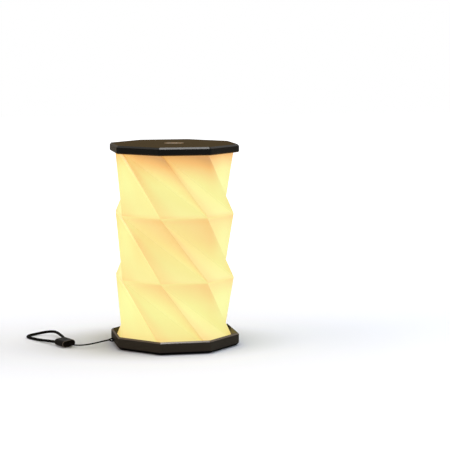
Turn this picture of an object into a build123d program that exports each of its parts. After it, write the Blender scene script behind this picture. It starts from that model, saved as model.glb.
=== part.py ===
from build123d import *
from math import cos, pi, radians, sin, tan
import os

# Folding lamp: an eight-sided pleated shade of three twisting tiers stands between a base tray and a lid.
# Pushed down, each tier turns and lies flat, and the lid comes to rest on the tray's rim.
# Millimetres, +Z up, origin at the centre of the base on the surface that the lamp stands on.
# Two of the eight walls face +X and -X. The strap leaves the -X wall.

# Plan
sides = 8
across_flats = 113.0
corner_round = 3.0

# Heights of the open lamp
total_height = 186.9
base_height = 12.2
lid_height = 7.4

# Base tray
wall = 1.8
tray_floor = 1.8
foot_stand = 0.5
base_chamfer = 2.4
rim_chamfer = 1.25
rim_round = 0.15
pad_inset = 4.6
pad_width = 9.0
pad_recess = 0.7
pad_side_gap = 0.15

# Ballast plate and deck inside the tray
ballast_side_gap = 7.2
ballast_thickness = 1.0
deck_thickness = 1.2
deck_side_gap = 0.2

# Lid
lid_chamfer = 1.5
skirt_chamfer = 0.9
top_wall = 1.0
lid_cavity = 2.7
diffuser_thickness = 0.8
diffuser_side_gap = 0.2

# Pleated shade
tiers = 3
shade_side_gap = 2.96
sheet_depth = 1.0
band_height = 0.8
flange_width = 7.5

# Screws, all of one size
screw_radius = 1.0
screw_pilot_gap = 0.05
screw_end_gap = 0.05
screw_hole_gap = 0.25
screw_head_radius = 1.9
screw_head_height = 0.9
screw_cross = 2.2
screw_slot = 0.5
screw_slot_depth = 0.4
boss_radius = 2.8
boss_hole_gap = 0.3
boss_floor = 0.3
base_screw_gap = 2.7
lid_screw_gap = 0.9
screw_count = 4

# Button
button_radius = 9.25
button_gap = 0.05
button_proud = 0.2
button_travel = 0.3
button_travel_gap = 0.1
button_flange = 1.0
button_flange_height = 0.5
button_hollow_radius = 4.0
button_edge = 0.15
symbol_radius = 4.6
symbol_stroke = 1.1
symbol_depth = 0.3
symbol_gap_angle = 27.0
symbol_bar_top = 6.3

# Circuit board and its ring of light-emitting diodes
board_radius = 15.0
board_thickness = 0.8
tongue_arm = 2.15
tongue_end_gap = 1.2
stud_radius = 1.4
stud_circle = 6.0
led_count = 12
led_circle = 11.5
led_size = (3.5, 2.8, 0.55)
led_gap = 0.05

# Charging chip, coil and two capacitors on the board's tongue: width, depth, height, x and y of each
components = [
    (3.0, 3.0, 0.9, 0.0, 21.0),
    (4.0, 4.0, 1.1, 0.0, 27.5),
    (1.6, 0.8, 0.8, 3.4, 34.0),
    (1.6, 0.8, 0.8, -3.4, 34.0),
]

# Switch under the button
switch_size = (4.2, 4.2, 0.6)
plunger_radius = 1.0
plunger_gap = 0.05
well_floor = 0.05

# Charging socket in the rear wall
socket_width = 7.5
socket_height = 2.45
socket_depth = 5.0
socket_skin = 0.3
socket_tongue = (3.7, 3.3, 0.7)
socket_gap = 0.1
port_lap = 0.15
port_gap = 0.05

# Battery cells
cell_board_gap = 1.0
cell_boss_gap = 2.9
cell_wall_gap = 3.7
cell_thickness = 2.3
cell_lift = 0.1
cell_round = 0.6
lead_radius = 0.4
lead_offset = 5.0
lead_reach = 3.8
lead_bend = 0.45

# Strap eyelet: a wire staple in the middle of the -X wall
eyelet_height = 5.6
eyelet_wire = 0.4
eyelet_half_width = 2.1
eyelet_opening = 1.65
eyelet_leg = 1.1
eyelet_bend = 1.2
eyelet_hole_gap = 0.05

# Strap: a thin cord, a moulded sleeve and a loop of thicker cord
tie_ring = 1.2
string_radius = 0.7
loop_radius = 1.35
cord_socket_gap = 0.05
cord_socket_depth = 1.0
cord_socket_floor = 0.2
sleeve_width = 13.0
sleeve_thickness = 6.0
sleeve_edge = 0.6
sleeve_near = (-99.0, -2.4, 4.1)
sleeve_far = (-105.0, 14.6, 3.6)
sleeve_roll = 6.5

string_route = [
    (-60.45, 0.0, 5.6),
    (-63.4, -0.4, 5.45),
    (-68.2, -2.6, 4.9),
    (-76.4, -6.0, 4.0),
    (-84.0, -8.4, 3.5),
    (-90.0, -9.4, 3.4),
    (-94.6, -8.4, 3.6),
    (-97.5, -5.6, 3.9),
    (-99.3, -1.5, 4.1),
]

loop_route = [
    (-109.0, 12.0, 3.2),
    (-115.7, 21.9, 2.6),
    (-121.6, 31.0, 1.8),
    (-127.3, 40.1, 1.5),
    (-133.3, 50.6, 1.45),
    (-130.2, 58.6, 1.45),
    (-122.6, 62.9, 1.9),
    (-113.2, 64.5, 3.2),
    (-106.2, 60.3, 4.0),
    (-103.9, 50.2, 4.3),
    (-102.5, 40.3, 4.3),
    (-101.2, 30.1, 4.2),
    (-100.7, 18.4, 4.1),
    (-100.5, 15.2, 4.1),
]

# Worked out from the sizes above
half_step = 180.0 / sides
across = across_flats / 2
lid_low = total_height - lid_height
lid_under = total_height - top_wall
diffuser_top = lid_under - lid_cavity
diffuser_low = diffuser_top - diffuser_thickness
floor_top = foot_stand + tray_floor
ballast_top = floor_top + ballast_thickness
deck_top = ballast_top + deck_thickness
band_half = band_height / 2
foot_level = deck_top + band_half
head_level = diffuser_low - band_half
tier_pitch = (head_level - foot_level) / tiers
flat_turn = 2 * half_step
shade_radius = (across - wall - shade_side_gap) / cos(radians(half_step))
pad_across = across_flats - 2 * (base_chamfer + pad_inset)
pad_inner = pad_across - 2 * pad_width
screw_hole_radius = screw_head_radius + screw_hole_gap
base_screw_circle = pad_inner / 2 - pad_side_gap - screw_hole_radius - base_screw_gap
flange_inner = (shade_radius - flange_width) * cos(radians(half_step))
lid_screw_circle = flange_inner - screw_head_radius - lid_screw_gap
head_seat = foot_stand + screw_pilot_gap + screw_head_height
screw_length = deck_top - boss_floor - screw_end_gap - head_seat
board_low = diffuser_top + led_size[2] + led_gap
board_top = board_low + board_thickness
switch_top = board_top + switch_size[2]
button_top = total_height + button_proud
flange_low = lid_under - button_flange_height
hollow_top = switch_top + button_travel + button_travel_gap
plunger_low = board_top + well_floor + plunger_gap + button_travel
socket_front = across - wall - port_gap
tongue_width = socket_width + 2 * (socket_gap + tongue_arm)
cell_inner = board_radius + cell_board_gap
cell_half_length = lid_screw_circle * sin(radians(flat_turn)) - boss_radius - cell_boss_gap
cell_outer = (across - wall - cell_wall_gap) / cos(radians(flat_turn)) - cell_half_length


def octagon(across_size, rounding=0.0):
    # A flat octagon with two flats square to X, given by its size across flats
    radius = across_size / 2 / cos(radians(half_step))
    angles = [radians(half_step * (2 * k + 1)) for k in range(sides)]
    outline = Polygon(*[(radius * cos(a), radius * sin(a)) for a in angles], align=None)
    if rounding > 0:
        outline = fillet(outline.vertices(), rounding)
    return outline


def slab(across_size, low, high, rounding=0.0):
    return extrude(Pos(0, 0, low) * octagon(across_size, rounding), high - low)


def disc(radius, low, high, x=0.0, y=0.0):
    return Pos(x, y, (low + high) / 2) * Cylinder(radius, high - low)


def block(width, depth, low, high, x=0.0, y=0.0):
    return Pos(x, y, (low + high) / 2) * Box(width, depth, high - low)


def around(circle):
    # The screws' places on a circle about the lamp's axis, the first square to the flat next to +X
    turns = [radians(flat_turn + 360 / screw_count * k) for k in range(screw_count)]
    return [(circle * cos(turn), circle * sin(turn)) for turn in turns]


def corner(radius, step, height):
    # Corner number `step` of the shade's octagon at one height, counted anticlockwise from above
    angle = radians(half_step * (2 * step + 1))
    return (radius * cos(angle), radius * sin(angle), height)


def polygon_ring(outer, width, low, high):
    shape = 2 * cos(radians(half_step))
    return slab(outer * shape, low, high) - slab((outer - width) * shape, low, high)


def pleated_solid(radius, low, high):
    # Sixteen triangles: each ridge runs from an upper corner to the next lower corner anticlockwise,
    # each valley to the one after that, as the moulded creases of a twist-fold do
    faces = []
    for k in range(sides):
        upper = [corner(radius, k, high), corner(radius, k + 1, high)]
        lower = [corner(radius, k + 1, low), corner(radius, k + 2, low)]
        faces.append(Face(Wire.make_polygon([upper[0], upper[1], lower[1]], close=True)))
        faces.append(Face(Wire.make_polygon([upper[0], lower[1], lower[0]], close=True)))
    for height in (low, high):
        ends = [corner(radius, k, height) for k in range(sides)]
        faces.append(Face(Wire.make_polygon(ends, close=True)))
    return Solid(Shell(faces))


def shade_tier(number):
    low = foot_level + tier_pitch * number + band_half
    high = foot_level + tier_pitch * (number + 1) - band_half
    return pleated_solid(shade_radius, low, high) - pleated_solid(shade_radius - sheet_depth, low, high)


def fold_band(number):
    level = foot_level + tier_pitch * number
    return polygon_ring(shade_radius, sheet_depth, level - band_half, level + band_half)


def screw(low, length):
    # Pan head down, shank up, with a cross recess in the head
    body = disc(screw_head_radius, low, low + screw_head_height)
    body = fillet(body.edges().group_by(Axis.Z)[0], screw_head_height / 3)
    body += disc(screw_radius, low + screw_head_height, low + screw_head_height + length)
    for turn in (0, 90):
        body -= Rot(0, 0, turn) * block(screw_cross, screw_slot, low, low + screw_slot_depth)
    return body


def base_tray():
    tray = slab(across_flats, foot_stand, base_height, corner_round)
    tray = chamfer(tray.edges().group_by(Axis.Z)[0], base_chamfer)
    tray = chamfer(tray.edges().group_by(Axis.Z)[-1], rim_chamfer)
    tray -= slab(across_flats - 2 * wall, floor_top, base_height, corner_round - wall)
    tray = fillet(tray.edges().group_by(Axis.Z)[-1], rim_round)
    recess_top = foot_stand + pad_recess
    recess = slab(pad_across + 2 * pad_side_gap, foot_stand, recess_top)
    recess -= slab(pad_inner - 2 * pad_side_gap, foot_stand, recess_top)
    tray -= recess
    for x, y in around(base_screw_circle):
        tray -= disc(screw_hole_radius, foot_stand, head_seat, x, y)
        tray -= disc(screw_radius + screw_hole_gap, head_seat, floor_top, x, y)
    for side in (-1, 1):
        hole = Rot(0, 90, 0) * Cylinder(eyelet_wire + eyelet_hole_gap, eyelet_leg + eyelet_hole_gap)
        x = -across + (eyelet_leg + eyelet_hole_gap) / 2
        tray -= Pos(x, side * eyelet_half_width, eyelet_height) * hole
    return tray


def foot_pad():
    pad = slab(pad_across, 0, foot_stand + pad_recess)
    return pad - slab(pad_inner, 0, foot_stand + pad_recess)


def ballast_plate():
    plate = slab(across_flats - 2 * wall - 2 * ballast_side_gap, floor_top, ballast_top)
    for x, y in around(base_screw_circle):
        plate -= disc(boss_radius + boss_hole_gap, floor_top, ballast_top, x, y)
    return plate


def base_deck():
    deck = slab(across_flats - 2 * wall - 2 * deck_side_gap, ballast_top, deck_top, corner_round - wall)
    for x, y in around(base_screw_circle):
        deck += disc(boss_radius, floor_top, ballast_top, x, y)
        deck -= disc(screw_radius + screw_pilot_gap, floor_top, deck_top - boss_floor, x, y)
    return deck


def base_screws():
    low = head_seat - screw_head_height
    return [Pos(x, y, 0) * screw(low, screw_length) for x, y in around(base_screw_circle)]


def shade_foot_ring():
    return polygon_ring(shade_radius, flange_width, deck_top, deck_top + band_height)


def shade_head_ring():
    return polygon_ring(shade_radius, flange_width, diffuser_low - band_height, diffuser_low)


def lid_cover():
    lid = slab(across_flats, lid_low, total_height, corner_round)
    lid = chamfer(lid.edges().group_by(Axis.Z)[-1], lid_chamfer)
    lid = chamfer(lid.edges().group_by(Axis.Z)[0], skirt_chamfer)
    lid -= slab(across_flats - 2 * wall, lid_low, lid_under, corner_round - wall)
    lid -= disc(button_radius + button_gap, lid_under, total_height)
    for x, y in around(lid_screw_circle):
        lid += disc(boss_radius, diffuser_top, lid_under, x, y)
        lid -= disc(screw_radius + screw_pilot_gap, diffuser_top, lid_under - boss_floor, x, y)
    middle = socket_middle()
    low = middle - socket_height / 2 + port_lap
    high = middle + socket_height / 2 - port_lap
    return lid - block(socket_width - 2 * port_lap, wall + corner_round, low, high, 0, across)


def lid_diffuser_plate():
    plate_across = across_flats - 2 * wall - 2 * diffuser_side_gap
    plate = slab(plate_across, diffuser_low, diffuser_top, corner_round - wall)
    for x, y in around(lid_screw_circle):
        plate -= disc(screw_radius + screw_hole_gap, diffuser_low, diffuser_top, x, y)
    for x, y in around(stud_circle):
        plate += disc(stud_radius, diffuser_top, board_low, x, y)
    return plate


def lid_screws():
    low = diffuser_low - screw_head_height
    return [Pos(x, y, 0) * screw(low, screw_length) for x, y in around(lid_screw_circle)]


def socket_middle():
    return diffuser_top + socket_gap / 2 + socket_height / 2


def circuit_board():
    tongue_end = socket_front - tongue_end_gap
    board = disc(board_radius, board_low, board_top)
    board += block(tongue_width, tongue_end, board_low, board_top, 0, tongue_end / 2)
    notch_width = socket_width + 2 * socket_gap
    notch_start = socket_front - socket_depth - socket_gap
    notch_end = tongue_end + socket_gap
    notch_y = (notch_start + notch_end) / 2
    return board - block(notch_width, notch_end - notch_start, board_low, board_top, 0, notch_y)


def led_ring():
    step = 360 / led_count
    width, depth, height = led_size
    low = board_low - height
    return [Rot(0, 0, step * (k + 0.5)) * block(depth, width, low, board_low, led_circle, 0)
            for k in range(led_count)]


def board_components():
    return [block(width, depth, board_top, board_top + height, x, y)
            for width, depth, height, x, y in components]


def tact_switch():
    width, depth, height = switch_size
    body = block(width, depth, board_top, switch_top)
    return body - disc(plunger_radius + plunger_gap, board_top + well_floor, switch_top)


def switch_plunger():
    return disc(plunger_radius, plunger_low, hollow_top)


def usb_socket():
    middle = socket_middle()
    low = middle - socket_height / 2
    high = middle + socket_height / 2
    back = socket_front - socket_depth
    shell = block(socket_width, socket_depth, low, high, 0, back + socket_depth / 2)
    shell = fillet(shell.edges().filter_by(Axis.Y), socket_skin)
    mouth_depth = socket_depth - socket_skin
    mouth_y = socket_front - mouth_depth / 2
    mouth_width = socket_width - 2 * socket_skin
    shell -= block(mouth_width, mouth_depth, low + socket_skin, high - socket_skin, 0, mouth_y)
    width, depth, height = socket_tongue
    tongue_y = back + socket_skin + depth / 2
    return shell + block(width, depth, middle - height / 2, middle + height / 2, 0, tongue_y)


def battery_cells():
    low = diffuser_top + cell_lift
    high = low + cell_thickness
    middle = (cell_inner + cell_outer) / 2
    cells = []
    for side in (-1, 1):
        cell = block(cell_outer - cell_inner, 2 * cell_half_length, low, high, side * middle, 0)
        cells.append(fillet(cell.edges().filter_by(Axis.Y), cell_round))
    return cells


def battery_leads():
    height = board_top + lead_bend + lead_radius / 2
    leads = []
    for side in (-1, 1):
        for row in (-1, 1):
            y = row * lead_offset
            start = (side * cell_inner, y, height)
            bend = (side * (cell_inner - lead_reach), y, height)
            end = (side * (cell_inner - lead_reach), y, board_top)
            path = FilletPolyline(start, bend, end, radius=lead_bend)
            leads.append(sweep(Plane(start, z_dir=(-side, 0, 0)) * Circle(lead_radius), path))
    return leads


def symbol_plan():
    # A ring open towards -X with a bar in the gap: the usual power sign
    ring = Circle(symbol_radius + symbol_stroke / 2) - Circle(symbol_radius - symbol_stroke / 2)
    reach = 2 * symbol_radius
    spread = reach * tan(radians(symbol_gap_angle))
    wedge = Polygon((0, 0), (-reach, spread), (-reach, -spread), align=None)
    bar = Pos(-symbol_bar_top / 2, 0) * Rectangle(symbol_bar_top, symbol_stroke)
    return ring - wedge, bar


def power_symbol():
    low = button_top - symbol_depth
    return [extrude(Pos(0, 0, low) * shape, symbol_depth) for shape in symbol_plan()]


def button_cap():
    cap = disc(button_radius, lid_under, button_top)
    cap = fillet(cap.edges().group_by(Axis.Z)[-1], button_edge)
    cap += disc(button_radius + button_flange, flange_low, lid_under)
    cap -= disc(button_hollow_radius, flange_low, hollow_top)
    for piece in power_symbol():
        cap -= piece
    return cap


def strap_eyelet():
    bar_x = -across - eyelet_opening - eyelet_wire
    end_x = -across + eyelet_leg
    y = eyelet_half_width
    z = eyelet_height
    path = FilletPolyline((end_x, -y, z), (bar_x, -y, z), (bar_x, y, z), (end_x, y, z), radius=eyelet_bend)
    return sweep(Plane((end_x, -y, z), z_dir=(-1, 0, 0)) * Circle(eyelet_wire), path)


def strap_tie():
    # The thin cord's end, closed into a ring round the eyelet's bar
    bar_x = -across - eyelet_opening - eyelet_wire
    return Pos(bar_x, 0, eyelet_height) * Rot(90, 0, 0) * Torus(tie_ring, string_radius)


def bend_radii(route, name):
    # The largest radius at each corner of a cord's route that its two runs leave room for
    points = [Vector(*p) for p in route]
    runs = [points[i + 1] - points[i] for i in range(len(points) - 1)]
    radii = []
    for before, after in zip(runs, runs[1:]):
        turn = before.get_angle(after)
        radii.append(0.45 * min(before.length, after.length) / tan(radians(turn) / 2))
    print(name, "bend radii", [round(r, 1) for r in radii])
    return radii


def cord_tube(route, radius, name):
    path = FilletPolyline(*route, radius=bend_radii(route, name))
    start = Vector(*route[0])
    heading = Vector(*route[1]) - start
    tube = sweep(Plane(start, z_dir=heading) * Circle(radius), path)
    expected = pi * radius**2 * path.length
    print(name, "length", round(path.length, 2))
    print(name, "volume", round(tube.volume, 2), "expected", round(expected, 2))
    return tube


def cord_socket(end, toward, radius):
    # A blind hole round a cord's end, along the cord's last run
    start = Vector(*end)
    heading = (Vector(*toward) - start).normalized()
    bottom = start - heading * cord_socket_floor
    length = cord_socket_floor + 2 * cord_socket_depth
    return Plane(bottom, z_dir=heading) * Pos(0, 0, length / 2) * Cylinder(radius + cord_socket_gap, length)


def strap_sleeve():
    near = Vector(*sleeve_near)
    far = Vector(*sleeve_far)
    along = (far - near).normalized()
    level = Vector(0, 0, 1).cross(along).normalized()
    across_dir = level.rotate(Axis((0, 0, 0), tuple(along)), -sleeve_roll)
    plan = Plane(near, x_dir=across_dir, z_dir=along) * SlotOverall(sleeve_width, sleeve_thickness)
    sleeve = extrude(plan, (far - near).length)
    end_edges = sleeve.edges().filter_by(lambda e: abs((e.center() - near).dot(along)) < 0.01)
    end_edges += sleeve.edges().filter_by(lambda e: abs((e.center() - far).dot(along)) < 0.01)
    sleeve = fillet(end_edges, sleeve_edge)
    sleeve -= cord_socket(string_route[-1], string_route[-2], string_radius)
    sleeve -= cord_socket(loop_route[0], loop_route[1], loop_radius)
    sleeve -= cord_socket(loop_route[-1], loop_route[-2], loop_radius)
    return sleeve


def strap_cord():
    return cord_tube(string_route, string_radius, "strap_cord")


def strap_loop():
    return cord_tube(loop_route, loop_radius, "strap_loop")


def shade_parts():
    names = ["shade_lower_tier", "shade_middle_tier", "shade_upper_tier"]
    parts = {name: shade_tier(k) for k, name in enumerate(names)}
    for k, name in enumerate(["lower_fold_band", "upper_fold_band"]):
        parts[name] = fold_band(k + 1)
    return parts


pieces = [
    base_tray, foot_pad, ballast_plate, base_deck, base_screws, shade_foot_ring, shade_head_ring,
    lid_cover, lid_diffuser_plate, lid_screws, circuit_board, led_ring, board_components, tact_switch,
    switch_plunger, usb_socket, battery_cells, battery_leads, button_cap, power_symbol,
    strap_eyelet, strap_tie, strap_cord, strap_sleeve, strap_loop,
]

os.makedirs("parts", exist_ok=True)
shapes = {make.__name__: make() for make in pieces}
shapes.update(shade_parts())
for name, shape in shapes.items():
    if isinstance(shape, list):
        shape = Compound(children=shape)
    export_step(shape, "parts/" + name + ".step")

print("shade levels", [round(foot_level + tier_pitch * k, 3) for k in range(tiers + 1)])
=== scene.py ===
from math import cos, pi, radians, sin

import bmesh
import bpy
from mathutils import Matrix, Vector


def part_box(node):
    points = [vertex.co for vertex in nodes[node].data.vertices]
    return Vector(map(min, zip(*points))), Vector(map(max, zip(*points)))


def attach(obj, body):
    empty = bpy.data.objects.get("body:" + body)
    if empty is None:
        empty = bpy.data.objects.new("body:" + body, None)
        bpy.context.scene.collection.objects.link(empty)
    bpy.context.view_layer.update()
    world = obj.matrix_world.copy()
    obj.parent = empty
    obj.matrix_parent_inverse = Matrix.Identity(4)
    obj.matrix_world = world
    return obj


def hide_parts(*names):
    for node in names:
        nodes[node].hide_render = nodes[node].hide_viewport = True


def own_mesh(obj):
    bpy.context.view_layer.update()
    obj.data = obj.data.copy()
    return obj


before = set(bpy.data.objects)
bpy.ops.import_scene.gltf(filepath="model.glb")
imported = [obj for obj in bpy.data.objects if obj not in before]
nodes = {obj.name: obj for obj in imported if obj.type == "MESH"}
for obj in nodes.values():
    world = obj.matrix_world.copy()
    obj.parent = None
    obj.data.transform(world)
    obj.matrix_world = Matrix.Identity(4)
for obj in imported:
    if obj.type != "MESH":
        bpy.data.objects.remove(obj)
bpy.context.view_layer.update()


# Base tray
# The real piece is an eight-sided tray, injection-moulded in black ABS with a fine spark-eroded grain.
# It is the bottom of the lamp: the deck drops in from above and four screws hold it from below.
def linear(code):
    """An sRGB hex colour as the linear colour that a shader socket takes."""
    shares = [int(code[i:i + 2], 16) / 255 for i in (1, 3, 5)]
    return [c / 12.92 if c <= 0.04045 else ((c + 0.055) / 1.055) ** 2.4 for c in shares] + [1.0]


def add(tree, kind, sockets, **settings):
    """Adds a node. Each of its sockets gets a plain value, an output, or another node's first output."""
    node = tree.nodes.new(kind)
    for name, value in settings.items():
        setattr(node, name, value)
    for key, value in sockets.items():
        if isinstance(value, bpy.types.Node):
            value = value.outputs[0]
        if isinstance(value, bpy.types.NodeSocket):
            tree.links.new(value, node.inputs[key])
        else:
            node.inputs[key].default_value = value
    return node


def new_finish(name, **constants):
    """An empty material, its node tree and its shader with the values that are the same all over."""
    material = bpy.data.materials.new(name)
    material.use_nodes = True
    shader = material.node_tree.nodes["Principled BSDF"]
    for socket, value in constants.items():
        shader.inputs[socket.replace("_", " ")].default_value = value
    return material, material.node_tree, shader


def finish_node(name, material):
    """Gives a CAD node its finish, in every material slot that it has."""
    for slot in nodes[name].material_slots:
        slot.material = material


# Patches of a slightly different tone are about 2 cm wide. The real pits are finer than a tenth of a
# millimetre, and they are drawn 0.7 mm wide so that they just show
patches_per_metre = 45.0
pits_per_metre = 1500.0
pit_depth = 0.00003


def chamfered_plastic(name, walls, top, edge, under, wall_gloss, top_gloss, edge_gloss, **constants):
    """Grained plastic with tones of its own for its walls and its level faces, and painted light on its two
    chamfers: edge is the upper chamfer's tone with any painted glow, under the painted light on the faces
    that look down.

    The upper chamfer is polished, but dulled on the two sides where hands hold the lamp to unfold it,
    and the inner sides of the walls are smooth."""
    inner_gloss = 0.5
    dulled_gloss = 0.25 * edge_gloss
    # A face is told by the height of its normal: 1 on a level face, 0 on a wall and 0.707 on a chamfer
    level_start, level_full = 0.85, 0.98
    chamfer_height, chamfer_reach = 0.707, 0.12
    under_start, under_full = -0.3, -0.6
    inward = -0.02
    hand_start, hand_end = 0.1, 0.4
    material, tree, shader = new_finish(name, Specular_IOR_Level=0.0, Roughness=0.6, Coat_Roughness=0.16,
                                        **constants)
    place = add(tree, "ShaderNodeTexCoord", {}).outputs["Object"]
    normal = add(tree, "ShaderNodeNewGeometry", {}).outputs["Normal"]
    facing = add(tree, "ShaderNodeSeparateXYZ", {0: normal}).outputs
    height = facing[2]
    upward = add(tree, "ShaderNodeMapRange", {0: height, 1: level_start, 2: level_full})
    sloped = add(tree, "ShaderNodeMath", {0: height, 1: chamfer_height, 2: chamfer_reach},
                 operation="COMPARE")
    downward = add(tree, "ShaderNodeMapRange", {0: height, 1: under_start, 2: under_full})
    plan = add(tree, "ShaderNodeVectorMath", {0: place, 1: (1.0, 1.0, 0.0)}, operation="MULTIPLY")
    outward = add(tree, "ShaderNodeVectorMath", {0: plan, 1: normal}, operation="DOT_PRODUCT")
    inside = add(tree, "ShaderNodeMath", {0: outward.outputs["Value"], 1: inward}, operation="LESS_THAN")
    drift = add(tree, "ShaderNodeTexNoise", {"Vector": place, "Scale": patches_per_metre, "Detail": 3.0})
    wall_tone, top_tone = [add(tree, "ShaderNodeMix", {0: drift, 6: linear(dark), 7: linear(light)},
                               data_type="RGBA") for dark, light in (walls, top)]
    tone = add(tree, "ShaderNodeMix", {0: upward, 6: wall_tone.outputs[2], 7: top_tone.outputs[2]},
               data_type="RGBA")
    # Painted light: the upper chamfer takes the edge tone, which on the tray is the shade's glow painted on,
    # and the faces that look down take the under tone, painted shade on the tray and the shade's glow
    # painted on the lid
    for share, colour in ((sloped, edge), (downward, under)):
        tone = add(tree, "ShaderNodeMix", {0: share, 6: tone.outputs[2], 7: linear(colour)},
                   data_type="RGBA")
    pits = add(tree, "ShaderNodeTexNoise", {"Vector": place, "Scale": pits_per_metre, "Detail": 2.0})
    side_gloss = add(tree, "ShaderNodeMix", {0: inside, 2: wall_gloss, 3: inner_gloss}, data_type="FLOAT")
    flat_gloss = add(tree, "ShaderNodeMix", {0: upward, 2: side_gloss, 3: top_gloss}, data_type="FLOAT")
    ends = add(tree, "ShaderNodeMath", {0: facing[1]}, operation="ABSOLUTE")
    polish = add(tree, "ShaderNodeMapRange", {0: ends, 1: hand_start, 2: hand_end, 3: dulled_gloss,
                                              4: edge_gloss})
    gloss = add(tree, "ShaderNodeMix", {0: sloped, 2: flat_gloss, 3: polish}, data_type="FLOAT")
    relief = add(tree, "ShaderNodeMath", {0: 1.0, 1: sloped}, operation="SUBTRACT")
    bump = add(tree, "ShaderNodeBump", {"Strength": relief, "Distance": pit_depth, "Height": pits})
    tree.links.new(tone.outputs[2], shader.inputs["Base Color"])
    tree.links.new(gloss.outputs[0], shader.inputs["Coat Weight"])
    tree.links.new(bump.outputs[0], shader.inputs["Normal"])
    return material


# Black ABS off a fine spark-eroded mould: nearly black with a brown cast and matt, with a grain that only
# just shows. The rim's chamfer is polished, and its paler brown is the shade's warm glow painted on, a thin
# bright band. The faces that look down are painted near black, as shade.
tray_abs = chamfered_plastic("moulded_black_abs_with_polished_rim", walls=("#2f2a24", "#39342c"),
                             top=("#2c251c", "#352d22"), edge="#54442e", under="#0c0b0a", wall_gloss=0.06,
                             top_gloss=0.03, edge_gloss=0.9)
finish_node("base_tray", tray_abs)


# Foot pad
# A ring of dark silicone rubber, pressed into the groove under the tray so that the lamp doesn't slide.
# Moulded rubber is matt and shows a faint bloom.
def grained_plastic(name, dark, light, grain, depth, rough, **constants):
    """Moulded plastic or rubber: a tone that drifts a little over centimetres, and the mould's even grain.

    grain is the width of its pits and depth is how deep they look. rough is the mean roughness."""
    noise_low, noise_high = 0.3, 0.7
    rough_spread = 0.05
    pit_strength = 0.35
    material, tree, shader = new_finish(name, **constants)
    place = add(tree, "ShaderNodeTexCoord", {}).outputs["Object"]
    drift = add(tree, "ShaderNodeTexNoise", {"Vector": place, "Scale": patches_per_metre, "Detail": 3.0})
    tone = add(tree, "ShaderNodeMix", {0: drift, 6: linear(dark), 7: linear(light)}, data_type="RGBA")
    tree.links.new(tone.outputs[2], shader.inputs["Base Color"])
    pits = add(tree, "ShaderNodeTexNoise", {"Vector": place, "Scale": 1.0 / grain, "Detail": 2.0})
    sheen = add(tree, "ShaderNodeMapRange", {0: pits, 1: noise_low, 2: noise_high,
                                             3: rough - rough_spread, 4: rough + rough_spread})
    bump = add(tree, "ShaderNodeBump", {"Strength": pit_strength, "Distance": depth, "Height": pits})
    tree.links.new(sheen.outputs[0], shader.inputs["Roughness"])
    tree.links.new(bump.outputs[0], shader.inputs["Normal"])
    return material


grey_rubber = grained_plastic("moulded_silicone_rubber", "#1e1e1e", "#2b2a2a", grain=0.0007, depth=0.00003,
                              rough=0.7, Specular_IOR_Level=0.3)
finish_node("foot_pad", grey_rubber)


# Ballast plate and screws
# The plate is laser-cut zinc-plated steel, dropped in loose under the deck, and keeps the tall light lamp
# upright. The pan-head screws are the same zinc-plated steel: rolled sheet has a fine lengthwise grain.
rolled_grain = (60.0, 1800.0, 1800.0)
smoothest, roughest = 0.28, 0.42
plated_steel, tree, shader = new_finish("zinc_plated_steel", Metallic=1.0)
place = add(tree, "ShaderNodeTexCoord", {}).outputs["Object"]
stretched = add(tree, "ShaderNodeMapping", {"Vector": place, "Scale": rolled_grain})
streaks = add(tree, "ShaderNodeTexNoise", {"Vector": stretched, "Scale": 1.0, "Detail": 3.0})
tone = add(tree, "ShaderNodeMix", {0: streaks, 6: linear("#8f9090"), 7: linear("#c2c3c0")},
           data_type="RGBA")
sheen = add(tree, "ShaderNodeMapRange", {0: streaks, 3: smoothest, 4: roughest})
tree.links.new(tone.outputs[2], shader.inputs["Base Color"])
tree.links.new(sheen.outputs[0], shader.inputs["Roughness"])
for name in ("ballast_plate", "base_screws", "lid_screws", "switch_plunger"):
    finish_node(name, plated_steel)


# Deck
# A plate of white ABS with four bosses under it. The shade's foot is bonded to its top, and its white face
# throws the light back up. Plain moulded, a little smoother than the tray.
white_abs = grained_plastic("moulded_white_abs", "#e3ddcd", "#ece7da", grain=0.0006, depth=0.00002,
                            rough=0.42)
finish_node("base_deck", white_abs)


# Pleated shade
# One sheet of translucent silicone, moulded with its folds: each tier is eight pairs of triangles, with a
# ridge and a valley to every pair, and turns a step of the octagon from its lower end to its upper end.
sides = 8
step = 2 * pi / sides
sheet_depth = 0.001
shade_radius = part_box("shade_lower_tier")[1].y / cos(step / 2)
tier_names = ("lower", "middle", "upper")
columns_per_face = 14
rows_per_tier = 30
weld_distance = 0.00001


def on_octagon(tree, along, radius):
    """The place on an octagon's outline, counted in corners from the first, as x and y."""
    corner = add(tree, "ShaderNodeMath", {0: along}, operation="FLOOR")
    share = add(tree, "ShaderNodeMath", {0: along}, operation="FRACT")
    ends = []
    for offset in (0.5, 1.5):
        turn = add(tree, "ShaderNodeMath", {0: corner, 1: offset}, operation="ADD")
        angle = add(tree, "ShaderNodeMath", {0: turn, 1: step}, operation="MULTIPLY")
        x = add(tree, "ShaderNodeMath", {0: angle}, operation="COSINE")
        y = add(tree, "ShaderNodeMath", {0: angle}, operation="SINE")
        unit = add(tree, "ShaderNodeCombineXYZ", {0: x, 1: y})
        ends.append(add(tree, "ShaderNodeVectorMath", {0: unit, "Scale": radius}, operation="SCALE"))
    return add(tree, "ShaderNodeMix", {0: share, 4: ends[0], 5: ends[1]}, data_type="VECTOR").outputs[1]


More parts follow.
